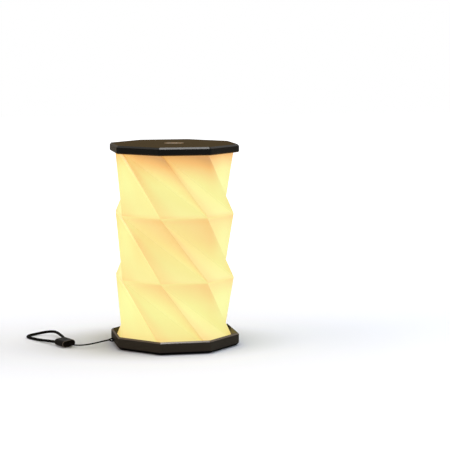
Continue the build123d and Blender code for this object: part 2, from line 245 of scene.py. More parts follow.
def fold_tree():
    """Geometry nodes that make one tier's outer skin from its lower and upper height and its radius."""
    tree = bpy.data.node_groups.new("twist_folded_tier", "GeometryNodeTree")
    for name, kind in (("Low", "Float"), ("High", "Float"), ("Radius", "Float"), ("Tier", "Float"),
                       ("Columns", "Int"), ("Rows", "Int"), ("Finish", "Material")):
        tree.interface.new_socket(name, in_out="INPUT", socket_type="NodeSocket" + kind)
    tree.interface.new_socket("Geometry", in_out="OUTPUT", socket_type="NodeSocketGeometry")
    given = tree.nodes.new("NodeGroupInput").outputs
    grid = add(tree, "GeometryNodeMeshGrid", {"Size X": 1.0, "Size Y": 1.0, "Vertices X": given["Columns"],
                                              "Vertices Y": given["Rows"]})
    flat = add(tree, "GeometryNodeInputPosition", {})
    moved = add(tree, "ShaderNodeVectorMath", {0: flat, 1: (0.5, 0.5, 0.0)}, operation="ADD")
    scaled = add(tree, "ShaderNodeVectorMath", {0: moved, 1: (sides, 1.0, 1.0)}, operation="MULTIPLY")
    parts = add(tree, "ShaderNodeSeparateXYZ", {0: scaled})
    pleat, rise = parts.outputs[0], parts.outputs[1]
    mark = add(tree, "ShaderNodeCombineXYZ", {0: pleat, 1: rise, 2: given["Tier"]})
    kept = add(tree, "GeometryNodeStoreNamedAttribute",
               {"Geometry": grid, "Name": "fold", "Value": mark}, data_type="FLOAT_VECTOR", domain="CORNER")
    # The lower end runs on through the pair's first face and rests in its second, the upper end the reverse
    corner = add(tree, "ShaderNodeMath", {0: pleat}, operation="FLOOR")
    share = add(tree, "ShaderNodeMath", {0: pleat}, operation="FRACT")
    doubled = add(tree, "ShaderNodeMath", {0: share, 1: 2.0}, operation="MULTIPLY")
    first = add(tree, "ShaderNodeMath", {0: doubled, 1: 1.0}, operation="MINIMUM")
    less = add(tree, "ShaderNodeMath", {0: doubled, 1: 1.0}, operation="SUBTRACT")
    second = add(tree, "ShaderNodeMath", {0: less, 1: 0.0}, operation="MAXIMUM")
    ahead = add(tree, "ShaderNodeMath", {0: corner, 1: 1.0}, operation="ADD")
    lower = add(tree, "ShaderNodeMath", {0: ahead, 1: first}, operation="ADD")
    upper = add(tree, "ShaderNodeMath", {0: corner, 1: second}, operation="ADD")
    plan = add(tree, "ShaderNodeMix", {0: rise, 4: on_octagon(tree, lower, given["Radius"]),
                                       5: on_octagon(tree, upper, given["Radius"])}, data_type="VECTOR")
    height = add(tree, "ShaderNodeMix", {0: rise, 2: given["Low"], 3: given["High"]}, data_type="FLOAT")
    lifted = add(tree, "ShaderNodeCombineXYZ", {2: height})
    place = add(tree, "ShaderNodeVectorMath", {0: plan.outputs[1], 1: lifted}, operation="ADD")
    folded = add(tree, "GeometryNodeSetPosition", {"Geometry": kept, "Position": place})
    closed = add(tree, "GeometryNodeMergeByDistance", {"Geometry": folded, "Distance": weld_distance})
    painted = add(tree, "GeometryNodeSetMaterial", {"Geometry": closed, "Material": given["Finish"]})
    real = add(tree, "GeometryNodeRealizeInstances", {"Geometry": painted})
    tree.links.new(real.outputs[0], tree.nodes.new("NodeGroupOutput").inputs[0])
    return tree


def grown_mesh(name, tree, values, last_modifiers=(), start=None):
    """Runs a geometry tree with its named inputs, then the last modifiers, and keeps the result's mesh."""
    source = bpy.data.objects.new(name + "_source", start or bpy.data.meshes.new(name + "_start"))
    bpy.context.collection.objects.link(source)
    grower = source.modifiers.new("grow", "NODES")
    grower.node_group = tree
    for item in tree.interface.items_tree:
        if item.in_out == "INPUT" and item.name in values:
            grower[item.identifier] = values[item.name]
    for kind, settings in last_modifiers:
        modifier = source.modifiers.new(kind.lower(), kind)
        for key, value in settings.items():
            setattr(modifier, key, value)
    solver = bpy.context.evaluated_depsgraph_get()
    mesh = bpy.data.meshes.new_from_object(source.evaluated_get(solver), preserve_all_data_layers=True,
                                           depsgraph=solver)
    bpy.data.objects.remove(source)
    piece = bpy.data.objects.new(name, mesh)
    bpy.context.collection.objects.link(piece)
    return piece


# Translucent silicone, lit from within. The attribute "fold" holds the place across the pleats, with a ridge
# at each whole number and a valley half way, the rise within a tier and the tier's number. The light that
# comes through the sheet is painted on as its glow, lemon yellow, and the glow is painted warmer, as shade,
# where the sheet stands further from the light: at the level folds, along the ridges, and in the last
# centimetres under the lid, where it is amber.
lit_silicone, tree, shader = new_finish("lit_translucent_silicone", Roughness=0.55, Emission_Strength=1.0,
                                        Specular_IOR_Level=0.3)
fold = add(tree, "ShaderNodeAttribute", {}, attribute_name="fold")
split = add(tree, "ShaderNodeSeparateXYZ", {0: fold.outputs["Vector"]})
climb = add(tree, "ShaderNodeMath", {0: split.outputs[1], 1: split.outputs[2]}, operation="ADD")
level = add(tree, "ShaderNodeMath", {0: climb, 1: 1 / len(tier_names)}, operation="MULTIPLY")
across = add(tree, "ShaderNodeMath", {0: split.outputs[0]}, operation="FRACT")
# The painted shade along a ridge: its upper face, its lower face and the crease itself, each from one place
# across the pleat to another, with the warmth at both
ridge_parts = ((0.5, 1.0, 0.02, 0.15), (0.0, 0.26, 0.16, 0.0), (0.8, 1.0, 0.0, 0.06))
ridges = 0.0
for start, end, at_start, at_end in ridge_parts:
    part = add(tree, "ShaderNodeMapRange", {0: across, 1: start, 2: end, 3: at_start, 4: at_end},
               interpolation_type="SMOOTHSTEP")
    ridges = add(tree, "ShaderNodeMath", {0: ridges, 1: part}, operation="ADD")
top_start, top_full, top_gain = 0.78, 0.95, 1.6
near_top = add(tree, "ShaderNodeMapRange", {0: level, 1: top_start, 2: top_full, 3: 1.0, 4: top_gain})
rise_warmth = add(tree, "ShaderNodeValToRGB", {0: level})
full_warmth = add(tree, "ShaderNodeMath", {0: ridges, 1: near_top, 2: rise_warmth},
                  operation="MULTIPLY_ADD")
# The sides that face the two side lamps are painted a cooler yellow, as lit by them, round the middle of
# each tier's height
side_way = (0.985, -0.171, 0.0)
calm_start, calm_end, calm_share = 0.55 * shade_radius, 0.82 * shade_radius, 0.7
middle_rise, middle_reach, ends_reach = 0.55, 0.15, 0.55
place = add(tree, "ShaderNodeTexCoord", {}).outputs["Object"]
sideways = add(tree, "ShaderNodeVectorMath", {0: place, 1: side_way}, operation="DOT_PRODUCT")
to_side = add(tree, "ShaderNodeMath", {0: sideways.outputs["Value"]}, operation="ABSOLUTE")
calm = add(tree, "ShaderNodeMapRange", {0: to_side, 1: calm_start, 2: calm_end, 3: 0.0, 4: calm_share},
           interpolation_type="SMOOTHSTEP")
from_middle = add(tree, "ShaderNodeMath", {0: split.outputs[1], 1: middle_rise}, operation="SUBTRACT")
apart = add(tree, "ShaderNodeMath", {0: from_middle}, operation="ABSOLUTE")
held = add(tree, "ShaderNodeMapRange", {0: apart, 1: middle_reach, 2: ends_reach, 3: 1.0, 4: 0.0})
cooler = add(tree, "ShaderNodeMath", {0: calm, 1: held}, operation="MULTIPLY")
kept_share = add(tree, "ShaderNodeMath", {0: 1.0, 1: cooler}, operation="SUBTRACT")
warmth = add(tree, "ShaderNodeMath", {0: full_warmth, 1: kept_share}, operation="MULTIPLY")
glow = add(tree, "ShaderNodeValToRGB", {0: warmth})
# How warm the glow is at each share of the shade's height, and its colour at each warmth
rise_stops = ((0.0, 0.302), (0.04, 0.221), (0.07, 0.15), (0.1, 0.13), (0.155, 0.08), (0.21, 0.09),
              (0.263, 0.17), (0.32, 0.26), (0.349, 0.15), (0.403, 0.15), (0.43, 0.17), (0.487, 0.22),
              (0.543, 0.27), (0.627, 0.28), (0.653, 0.34), (0.682, 0.12), (0.82, 0.1), (0.847, 0.14),
              (0.877, 0.21), (0.903, 0.314), (0.93, 0.477), (0.96, 0.64), (0.987, 0.884), (1.0, 1.0))
glow_stops = ((0.0, "#e8ee98"), (0.093, "#e8e58f"), (0.186, "#e8dc87"), (0.291, "#e9d27e"),
              (0.407, "#e9c675"), (0.558, "#e8b965"), (0.709, "#e4a954"), (0.826, "#da9e4b"),
              (0.919, "#d09544"), (1.0, "#c88c43"))
for node, stops in ((rise_warmth, [(spot, (share, share, share, 1.0)) for spot, share in rise_stops]),
                    (glow, [(spot, linear(code)) for spot, code in glow_stops])):
    while len(node.color_ramp.elements) < len(stops):
        node.color_ramp.elements.new(1.0)
    for element, (spot, colour) in zip(node.color_ramp.elements, stops):
        element.position = spot
        element.color = colour
tree.links.new(glow.outputs[0], shader.inputs["Emission Color"])
shader.inputs["Base Color"].default_value = linear("#787362")

tier_tree = fold_tree()
wall = ("SOLIDIFY", {"thickness": sheet_depth, "offset": -1.0, "use_even_offset": True})
for number, name in enumerate(tier_names):
    node = "shade_" + name + "_tier"
    low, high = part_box(node)
    tier = grown_mesh("pleated_" + name + "_tier", tier_tree,
                      {"Low": low.z, "High": high.z, "Radius": shade_radius, "Tier": float(number),
                       "Columns": 2 * sides * columns_per_face + 1, "Rows": rows_per_tier + 1,
                       "Finish": lit_silicone}, [wall])
    # The folds are moulded round, so they shade softly, and only the edges at the tier's two ends are sharp
    mesh = tier.data
    mesh.shade_smooth()
    for edge in mesh.edges:
        heights = [mesh.vertices[corner].co.z for corner in edge.vertices]
        edge.use_edge_sharp = any(max(abs(height - end) for height in heights) < weld_distance
                                  for end in (low.z, high.z))
    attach(tier, name + "_tier")
    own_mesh(tier)
    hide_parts(node)


# Level folds and the shade's two flanges
# Between two tiers the sheet is pressed into a narrow level band that stays rigid, and at both ends it turns
# inwards to a flat flange: the lower one is bonded to the deck and the upper one to the diffuser plate.
sharp_angle = radians(40)
flange_width = 0.0075


def octagon_ring(name, body, profile, tier, finish):
    """A closed ring on the shade's octagon. The profile runs round the section: inset from the edge, height.

    tier is its place in the shade, which sets its glow."""
    form = bmesh.new()
    loops = []
    for corner in range(sides):
        angle = (corner + 0.5) * step
        loops.append([form.verts.new(((shade_radius - inset) * cos(angle),
                                      (shade_radius - inset) * sin(angle), z)) for inset, z in profile])
    count = len(profile)
    for i, loop in enumerate(loops):
        following = loops[(i + 1) % sides]
        for j in range(count):
            k = (j + 1) % count
            face = form.faces.new((loop[j], following[j], following[k], loop[k]))
            face.smooth = True
    bmesh.ops.recalc_face_normals(form, faces=form.faces)
    mesh = bpy.data.meshes.new(name)
    form.to_mesh(mesh)
    form.free()
    mesh.set_sharp_from_angle(angle=sharp_angle)
    mesh.materials.append(finish)
    for mark in mesh.attributes.new("fold", "FLOAT_VECTOR", "POINT").data:
        mark.vector = (0.5, 0.0, tier)
    ring = bpy.data.objects.new(name, mesh)
    bpy.context.collection.objects.link(ring)
    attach(ring, body)
    return ring


def rounded_section(width, low, high, segments=5):
    """The outline of a flat strip whose two edges are rounded: inset and height, from the outer edge on."""
    half = (high - low) / 2
    middle = (high + low) / 2
    outline = []
    for centre, first in ((half, pi / 2), (width - half, -pi / 2)):
        for i in range(segments + 1):
            angle = first + pi * i / segments
            outline.append((centre + half * cos(angle), middle + half * sin(angle)))
    return outline


for name, node, body, width, tier in (("foot_flange", "shade_foot_ring", "base", flange_width, 0),
                                      ("lower_level_fold", "lower_fold_band", "lower_band", sheet_depth, 1),
                                      ("upper_level_fold", "upper_fold_band", "upper_band", sheet_depth, 2),
                                      ("head_flange", "shade_head_ring", "lid", flange_width, 3)):
    low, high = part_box(node)
    ring = octagon_ring(name, body, rounded_section(width, low.z, high.z), tier, lit_silicone)
    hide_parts(node)


# Lid
# A shallow eight-sided cap of black ABS. Its top is eroded a little coarser than the tray, its chamfer is
# polished, and it holds the lamp's electric parts. The warm tint of its sheen is a painted warm reflection
# at low angles, and the faces that look down, its lower chamfer among them, are painted a warm brown for the
# shade's glow on them.
lid_abs = chamfered_plastic("moulded_black_abs_with_polished_chamfer", walls=("#131312", "#1a1a18"),
                            top=("#1c1a16", "#26231e"), edge="#171614", under="#4a3620", wall_gloss=0.06,
                            top_gloss=0.01, edge_gloss=0.5, Sheen_Weight=0.115, Sheen_Roughness=0.4,
                            Sheen_Tint=linear("#ffd689"))
finish_node("lid_cover", lid_abs)


# Diffuser plate
# A plate of opal polycarbonate, cut from sheet, that closes the lid from below and spreads the light of the
# twelve diodes, each of which shows through it as a soft bright spot.
diode_circle = 0.0115
diode_count = 12
glow_reach = 0.03
spot_reach = 0.005
clouds_per_metre = 120.0
opal_sheet, tree, shader = new_finish("opal_polycarbonate_lit", Roughness=0.35, Emission_Strength=0.9)
place = add(tree, "ShaderNodeTexCoord", {}).outputs["Object"]
parts = add(tree, "ShaderNodeSeparateXYZ", {0: place})
plan = add(tree, "ShaderNodeCombineXYZ", {0: parts.outputs[0], 1: parts.outputs[1]})
spread = add(tree, "ShaderNodeVectorMath", {0: plan}, operation="LENGTH").outputs["Value"]
off_circle = add(tree, "ShaderNodeMath", {0: spread, 1: diode_circle}, operation="SUBTRACT")
distance = add(tree, "ShaderNodeMath", {0: off_circle}, operation="ABSOLUTE")
around = add(tree, "ShaderNodeMath", {0: parts.outputs[1], 1: parts.outputs[0]}, operation="ARCTAN2")
turns = add(tree, "ShaderNodeMath", {0: around, 1: diode_count}, operation="MULTIPLY")
beat = add(tree, "ShaderNodeMath", {0: turns}, operation="COSINE")
near = add(tree, "ShaderNodeMapRange", {0: distance, 1: 0.0, 2: glow_reach, 3: 0.75, 4: 0.2},
           interpolation_type="SMOOTHSTEP")
spots = add(tree, "ShaderNodeMapRange", {0: distance, 1: 0.0, 2: spot_reach, 3: 0.25, 4: 0.0})
pulse = add(tree, "ShaderNodeMath", {0: beat, 1: spots, 2: near}, operation="MULTIPLY_ADD")
glow = add(tree, "ShaderNodeMix", {0: pulse, 6: linear("#e9c98c"), 7: linear("#fff6dc")}, data_type="RGBA")
tree.links.new(glow.outputs[2], shader.inputs["Emission Color"])
cloud = add(tree, "ShaderNodeTexNoise", {"Vector": place, "Scale": clouds_per_metre})
tone = add(tree, "ShaderNodeMix", {0: cloud, 6: linear("#e6e2d6"), 7: linear("#f0ede4")}, data_type="RGBA")
tree.links.new(tone.outputs[2], shader.inputs["Base Color"])
finish_node("lid_diffuser_plate", opal_sheet)


# Diodes and circuit board
# Twelve warm-white diodes with a yellow phosphor square in a white case, soldered under a round board of
# green-masked glass fibre. The mask is glossy, and the copper tracks under it show as lighter lines.
phosphor_grains_per_metre = 3000.0
tracks_per_metre = 420.0
track_distance, half_track = 0.34, 0.05
track_strength, track_height = 0.4, 0.00003
diode_face, tree, shader = new_finish("lit_diode_phosphor", Roughness=0.3, Emission_Strength=1.0)
place = add(tree, "ShaderNodeTexCoord", {}).outputs["Object"]
grains = add(tree, "ShaderNodeTexVoronoi", {"Vector": place, "Scale": phosphor_grains_per_metre})
glow = add(tree, "ShaderNodeMix", {0: grains.outputs["Distance"], 6: linear("#fff1c4"),
                                   7: linear("#ffdc86")}, data_type="RGBA")
tree.links.new(glow.outputs[2], shader.inputs["Emission Color"])
tree.links.new(glow.outputs[2], shader.inputs["Base Color"])
finish_node("led_ring", diode_face)

solder_mask, tree, shader = new_finish("green_solder_mask", Roughness=0.22)
place = add(tree, "ShaderNodeTexCoord", {}).outputs["Object"]
track_cells = add(tree, "ShaderNodeTexVoronoi", {"Vector": place, "Scale": tracks_per_metre},
                  distance="CHEBYCHEV", feature="F1")
edge = add(tree, "ShaderNodeMath", {0: track_cells.outputs["Distance"], 1: track_distance, 2: half_track},
           operation="COMPARE")
tone = add(tree, "ShaderNodeMix", {0: edge, 6: linear("#0f4a26"), 7: linear("#2f7a44")}, data_type="RGBA")
bump = add(tree, "ShaderNodeBump", {"Strength": track_strength, "Distance": track_height, "Height": edge})
tree.links.new(tone.outputs[2], shader.inputs["Base Color"])
tree.links.new(bump.outputs[0], shader.inputs["Normal"])
finish_node("circuit_board", solder_mask)


# Chips and switch
# Black moulded epoxy bodies, matt, on the board behind the charging socket, and the low push switch in the
# middle of the board that the button's plunger presses.
chip_epoxy = grained_plastic("moulded_black_epoxy", "#161618", "#222224", grain=0.0003, depth=0.00001,
                             rough=0.6)
for name in ("board_components", "tact_switch"):
    finish_node(name, chip_epoxy)


# Charging socket
# A drawn shell of nickel-plated steel, soldered to the board, with its mouth in the lid's rear wall.
drawn_grain = (3000.0, 150.0, 3000.0)
smoothest, roughest = 0.18, 0.3
nickel, tree, shader = new_finish("nickel_plated_steel", Metallic=1.0)
place = add(tree, "ShaderNodeTexCoord", {}).outputs["Object"]
drawn = add(tree, "ShaderNodeMapping", {"Vector": place, "Scale": drawn_grain})
lines = add(tree, "ShaderNodeTexNoise", {"Vector": drawn, "Scale": 1.0, "Detail": 3.0})
tone = add(tree, "ShaderNodeMix", {0: lines, 6: linear("#a9a59c"), 7: linear("#cfccc4")}, data_type="RGBA")
sheen = add(tree, "ShaderNodeMapRange", {0: lines, 3: smoothest, 4: roughest})
tree.links.new(tone.outputs[2], shader.inputs["Base Color"])
tree.links.new(sheen.outputs[0], shader.inputs["Roughness"])
finish_node("usb_socket", nickel)


# Battery
# Two flat pouch cells in crinkled aluminium foil, taped to the lid, one on each side of the board, with
# four short wires in soft red insulation.
creases_per_metre = 260.0
crease_strength, crease_depth = 0.5, 0.0002
smoothest, roughest = 0.3, 0.5
pouch_foil, tree, shader = new_finish("aluminium_pouch_foil", Metallic=0.9)
place = add(tree, "ShaderNodeTexCoord", {}).outputs["Object"]
creases = add(tree, "ShaderNodeTexNoise", {"Vector": place, "Scale": creases_per_metre, "Detail": 4.0,
                                           "Distortion": 0.6})
tone = add(tree, "ShaderNodeMix", {0: creases, 6: linear("#a3a6a8"), 7: linear("#d0d2d3")},
           data_type="RGBA")
sheen = add(tree, "ShaderNodeMapRange", {0: creases, 3: smoothest, 4: roughest})
bump = add(tree, "ShaderNodeBump", {"Strength": crease_strength, "Distance": crease_depth,
                                    "Height": creases})
tree.links.new(tone.outputs[2], shader.inputs["Base Color"])
tree.links.new(sheen.outputs[0], shader.inputs["Roughness"])
tree.links.new(bump.outputs[0], shader.inputs["Normal"])
finish_node("battery_cells", pouch_foil)
finish_node("battery_leads", grained_plastic("red_wire_insulation", "#9c1414", "#b52320", grain=0.0004,
                                             depth=0.00001, rough=0.35))


# Button
# A polished disc of black acrylic in the middle of the lid, a hair proud of it, with the power sign as a
# moulded grey inlay with a warm brown cast painted on as warm light. The warm tint of the disc's sheen is
# painted warm light too. Handling leaves faint smears in the polish.
smears_per_metre = 160.0
noise_low, noise_high = 0.35, 0.65
smoothest, roughest = 0.25, 0.38
polished_acrylic, tree, shader = new_finish("polished_black_acrylic", Specular_IOR_Level=0.01,
                                            Sheen_Weight=0.34, Sheen_Roughness=0.4,
                                            Sheen_Tint=linear("#ffc45a"))
place = add(tree, "ShaderNodeTexCoord", {}).outputs["Object"]
smears = add(tree, "ShaderNodeTexNoise", {"Vector": place, "Scale": smears_per_metre, "Detail": 4.0,
                                          "Distortion": 1.2})
tone = add(tree, "ShaderNodeMix", {0: smears, 6: linear("#0e0d0c"), 7: linear("#171512")}, data_type="RGBA")
sheen = add(tree, "ShaderNodeMapRange", {0: smears, 1: noise_low, 2: noise_high, 3: smoothest,
                                         4: roughest})
tree.links.new(tone.outputs[2], shader.inputs["Base Color"])
tree.links.new(sheen.outputs[0], shader.inputs["Roughness"])
finish_node("button_cap", polished_acrylic)
finish_node("power_symbol", grained_plastic("grey_moulded_inlay", "#453a2a", "#4f4331", grain=0.0004,
                                            depth=0.00001, rough=0.45, Specular_IOR_Level=0.03))


# Strap eyelet
# A staple of black-plated steel wire, pressed into two holes in the tray's wall. Drawn wire is smooth, and
# the plating is worn a little brighter where the strap rubs.
worn_spots_per_metre = 900.0
smoothest, roughest = 0.4, 0.55
plated_wire, tree, shader = new_finish("black_plated_steel_wire", Metallic=0.85)
place = add(tree, "ShaderNodeTexCoord", {}).outputs["Object"]
wear = add(tree, "ShaderNodeTexNoise", {"Vector": place, "Scale": worn_spots_per_metre, "Detail": 3.0})
tone = add(tree, "ShaderNodeMix", {0: wear, 6: linear("#101011"), 7: linear("#222224")}, data_type="RGBA")
sheen = add(tree, "ShaderNodeMapRange", {0: wear, 3: smoothest, 4: roughest})
tree.links.new(tone.outputs[2], shader.inputs["Base Color"])
tree.links.new(sheen.outputs[0], shader.inputs["Roughness"])
finish_node("strap_eyelet", plated_wire)


# Strap cords
# A thin braided polyester cord is spliced round the eyelet and ends in the sleeve, and a thicker one makes
# the loop for the hand. Strands wound both ways round the core pass over and under each other in turn.
def route_curve(name, points):
    """A smooth route on the given points, in millimetres, and the places along its line."""
    millimetres = 1000
    curve = bpy.data.curves.new(name, "CURVE")
    curve.dimensions = "3D"
    curve.resolution_u = 16
    spline = curve.splines.new("NURBS")
    spline.points.add(len(points) - 1)
    for point, place in zip(spline.points, points):
        point.co = (*(Vector(place) / millimetres), 1.0)
        point.radius = 1.0
    spline.order_u = 3
    spline.use_endpoint_u = True
    line = bpy.data.objects.new(name + "_line", curve)
    bpy.context.collection.objects.link(line)
    drawn = bpy.data.meshes.new_from_object(line)
    path = [tuple(vertex.co) for vertex in drawn.vertices]
    bpy.data.objects.remove(line)
    bpy.data.meshes.remove(drawn)
    return curve, path


def braid_tree():
    """Geometry nodes that sweep a cord's skin along a route and raise two sets of strands on it in turn."""
    strand_roundness = 0.6
    tucked_crown = 0.6
    tree = bpy.data.node_groups.new("braided_cord", "GeometryNodeTree")
    for name, kind in (("Geometry", "Geometry"), ("Radius", "Float"), ("Relief", "Float"), ("Lay", "Float"),
                       ("Strands", "Int"), ("Spacing", "Float"), ("Around", "Int"), ("Finish", "Material")):
        tree.interface.new_socket(name, in_out="INPUT", socket_type="NodeSocket" + kind)
    tree.interface.new_socket("Geometry", in_out="OUTPUT", socket_type="NodeSocketGeometry")
    given = tree.nodes.new("NodeGroupInput").outputs
    even = add(tree, "GeometryNodeResampleCurve", {"Curve": given["Geometry"], "Length": given["Spacing"]},
               mode="LENGTH")
    spline = add(tree, "GeometryNodeSplineParameter", {}).outputs
    place = add(tree, "GeometryNodeInputPosition", {})
    measured = add(tree, "GeometryNodeStoreNamedAttribute",
                   {"Geometry": even, "Name": "run", "Value": spline["Length"]},
                   data_type="FLOAT", domain="POINT")
    route = add(tree, "GeometryNodeStoreNamedAttribute",
                {"Geometry": measured, "Name": "middle", "Value": place},
                data_type="FLOAT_VECTOR", domain="POINT")
    circle = add(tree, "GeometryNodeCurvePrimitiveCircle",
                 {"Resolution": given["Around"], "Radius": given["Radius"]})
    ring = add(tree, "GeometryNodeStoreNamedAttribute",
               {"Geometry": circle, "Name": "turn", "Value": spline["Factor"]},
               data_type="FLOAT", domain="POINT")
    tube = add(tree, "GeometryNodeCurveToMesh", {"Curve": route, "Profile Curve": ring, "Fill Caps": True})
    run, turn = [add(tree, "GeometryNodeInputNamedAttribute", {"Name": name}, data_type="FLOAT")
                 for name in ("run", "turn")]
    middle = add(tree, "GeometryNodeInputNamedAttribute", {"Name": "middle"}, data_type="FLOAT_VECTOR")
    turned = add(tree, "ShaderNodeMath", {0: turn, 1: given["Strands"]}, operation="MULTIPLY")
    lays = add(tree, "ShaderNodeMath", {0: run, 1: given["Lay"]}, operation="DIVIDE")
    passed = add(tree, "ShaderNodeMath", {0: lays, 1: given["Strands"]}, operation="MULTIPLY")
    # Each set of strands winds one way. Where their counts add up to an even number the first lies on top
    whole, arch = [], []
    for way in ("ADD", "SUBTRACT"):
        count = add(tree, "ShaderNodeMath", {0: turned, 1: passed}, operation=way)
        whole.append(add(tree, "ShaderNodeMath", {0: count}, operation="FLOOR"))
        share = add(tree, "ShaderNodeMath", {0: count}, operation="FRACT")
        half_turn = add(tree, "ShaderNodeMath", {0: share, 1: pi}, operation="MULTIPLY")
        arch.append(add(tree, "ShaderNodeMath", {0: half_turn}, operation="SINE"))
    both = add(tree, "ShaderNodeMath", {0: whole[0], 1: whole[1]}, operation="ADD")
    odd = add(tree, "ShaderNodeMath", {0: both, 1: 1.0}, operation="PINGPONG")
    over = add(tree, "ShaderNodeMix", {0: odd, 2: arch[0], 3: arch[1]}, data_type="FLOAT")
    along = add(tree, "ShaderNodeMix", {0: odd, 2: arch[1], 3: arch[0]}, data_type="FLOAT")
    rounded = add(tree, "ShaderNodeMath", {0: over, 1: strand_roundness}, operation="POWER")
    tucked = add(tree, "ShaderNodeMapRange", {0: along, 3: tucked_crown, 4: 1.0})
    crown = add(tree, "ShaderNodeMath", {0: rounded, 1: tucked}, operation="MULTIPLY")
    sunk = add(tree, "ShaderNodeMath", {0: 1.0, 1: crown}, operation="SUBTRACT")
    depth = add(tree, "ShaderNodeMath", {0: sunk, 1: given["Relief"]}, operation="MULTIPLY")
    reach = add(tree, "ShaderNodeMath", {0: given["Radius"], 1: depth}, operation="SUBTRACT")
    outward = add(tree, "ShaderNodeVectorMath", {0: place, 1: middle}, operation="SUBTRACT")
    unit = add(tree, "ShaderNodeVectorMath", {0: outward}, operation="NORMALIZE")
    arm = add(tree, "ShaderNodeVectorMath", {0: unit, "Scale": reach}, operation="SCALE")
    target = add(tree, "ShaderNodeVectorMath", {0: middle, 1: arm}, operation="ADD")
    marked = add(tree, "GeometryNodeStoreNamedAttribute",
                 {"Geometry": tube, "Name": "crown", "Value": crown}, data_type="FLOAT", domain="POINT")
    braided = add(tree, "GeometryNodeSetPosition", {"Geometry": marked, "Position": target})
    smooth = add(tree, "GeometryNodeSetShadeSmooth", {"Geometry": braided})
    painted = add(tree, "GeometryNodeSetMaterial", {"Geometry": smooth, "Material": given["Finish"]})
    real = add(tree, "GeometryNodeRealizeInstances", {"Geometry": painted})
    tree.links.new(real.outputs[0], tree.nodes.new("NodeGroupOutput").inputs[0])
    return tree


# Braided polyester: near black, each strand a bundle of fine filaments with a faint silky sheen. The
# filaments are drawn 0.2 mm wide, far coarser than the real ones, so that they show.
filaments_per_metre = 5000.0
filament_strength, filament_depth = 0.3, 0.00002
smoothest, roughest = 0.42, 0.6
braided_polyester, tree, shader = new_finish("braided_polyester", Sheen_Weight=0.01, Sheen_Roughness=0.4,
                                             Specular_IOR_Level=0.015)
place = add(tree, "ShaderNodeTexCoord", {}).outputs["Object"]
filaments = add(tree, "ShaderNodeTexNoise", {"Vector": place, "Scale": filaments_per_metre, "Detail": 2.0})
# The crowns of the strands are painted lighter and the grooves between them darker, as shade
crown = add(tree, "ShaderNodeAttribute", {}, attribute_name="crown").outputs["Fac"]
lit_part = add(tree, "ShaderNodeMath", {0: filaments, 1: crown}, operation="MULTIPLY")
tone = add(tree, "ShaderNodeMix", {0: lit_part, 6: linear("#050505"), 7: linear("#181613")},
           data_type="RGBA")
sheen = add(tree, "ShaderNodeMapRange", {0: filaments, 3: smoothest, 4: roughest})
bump = add(tree, "ShaderNodeBump", {"Strength": filament_strength, "Distance": filament_depth,
                                    "Height": filaments})
tree.links.new(tone.outputs[2], shader.inputs["Base Color"])
tree.links.new(sheen.outputs[0], shader.inputs["Roughness"])
tree.links.new(bump.outputs[0], shader.inputs["Normal"])

string_route = [(-60.45, 0, 5.6), (-63.4, -0.4, 5.45), (-68.2, -2.6, 4.9), (-76.4, -6.0, 4.0),
                (-84.0, -8.4, 3.5), (-90.0, -9.4, 3.4), (-94.6, -8.4, 3.6), (-97.5, -5.6, 3.9),
                (-99.3, -1.5, 4.1)]
loop_route = [(-109, 12, 3.2), (-115.7, 21.9, 2.6), (-121.6, 31, 1.8), (-127.3, 40.1, 1.5),
              (-133.3, 50.6, 1.45), (-130.2, 58.6, 1.45), (-122.6, 62.9, 1.9), (-113.2, 64.5, 3.2),
              (-106.2, 60.3, 4.0), (-103.9, 50.2, 4.3), (-102.5, 40.3, 4.3), (-101.2, 30.1, 4.2),
              (-100.7, 18.4, 4.1), (-100.5, 15.2, 4.1)]
# The cord's end goes over and under the eyelet's bar and back into its own braid
knot_route = [(-62.6, 0.3, 5.4), (-61.3, 0.5, 5.7), (-60.1, 0.4, 6.4), (-58.8, 0.0, 6.9),
              (-57.6, 0.0, 6.4), (-57.3, 0.0, 5.4), (-57.9, 0.0, 4.4), (-59.1, -0.1, 4.3),
              (-60.2, -0.5, 4.9), (-61.1, -0.7, 5.6), (-62.1, -0.6, 5.9)]
braid = braid_tree()
string_curve, string_line = route_curve("string_route", string_route)
loop_curve, loop_line = route_curve("loop_route", loop_route)
knot_curve = route_curve("knot_route", knot_route)[0]
thin = {"Radius": 0.0007, "Relief": 0.00009, "Lay": 0.0036, "Strands": 4, "Spacing": 0.0001, "Around": 32,
        "Finish": braided_polyester}
thick = {"Radius": 0.00135, "Relief": 0.00015, "Lay": 0.008, "Strands": 8, "Spacing": 0.00018, "Around": 48,
         "Finish": braided_polyester}
string = grown_mesh("strap_string", braid, thin, start=string_curve)
loop = grown_mesh("strap_hand_loop", braid, thick, start=loop_curve)
knot = grown_mesh("strap_knot", braid, thin, start=knot_curve)
for piece, node in ((string, "strap_cord"), (loop, "strap_loop"), (knot, "strap_tie")):
    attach(piece, "base")
    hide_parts(node)


# Strap sleeve
# A slider of soft black rubber, moulded round the end of the thin cord and both ends of the loop. Its skin
# is smooth and satin and takes faint rub marks, and the rounded edges of its two ends carry a pale painted
# highlight.
rubs_per_metre = 220.0
smoothest, roughest = 0.34, 0.46
slider_rubber, tree, shader = new_finish("moulded_soft_rubber", Specular_IOR_Level=0.01)
place = add(tree, "ShaderNodeTexCoord", {}).outputs["Object"]
rubs = add(tree, "ShaderNodeTexNoise", {"Vector": place, "Scale": rubs_per_metre, "Detail": 4.0})
tone = add(tree, "ShaderNodeMix", {0: rubs, 6: linear("#100e0b"), 7: linear("#181410")}, data_type="RGBA")
sheen = add(tree, "ShaderNodeMapRange", {0: rubs, 1: noise_low, 2: noise_high, 3: smoothest, 4: roughest})
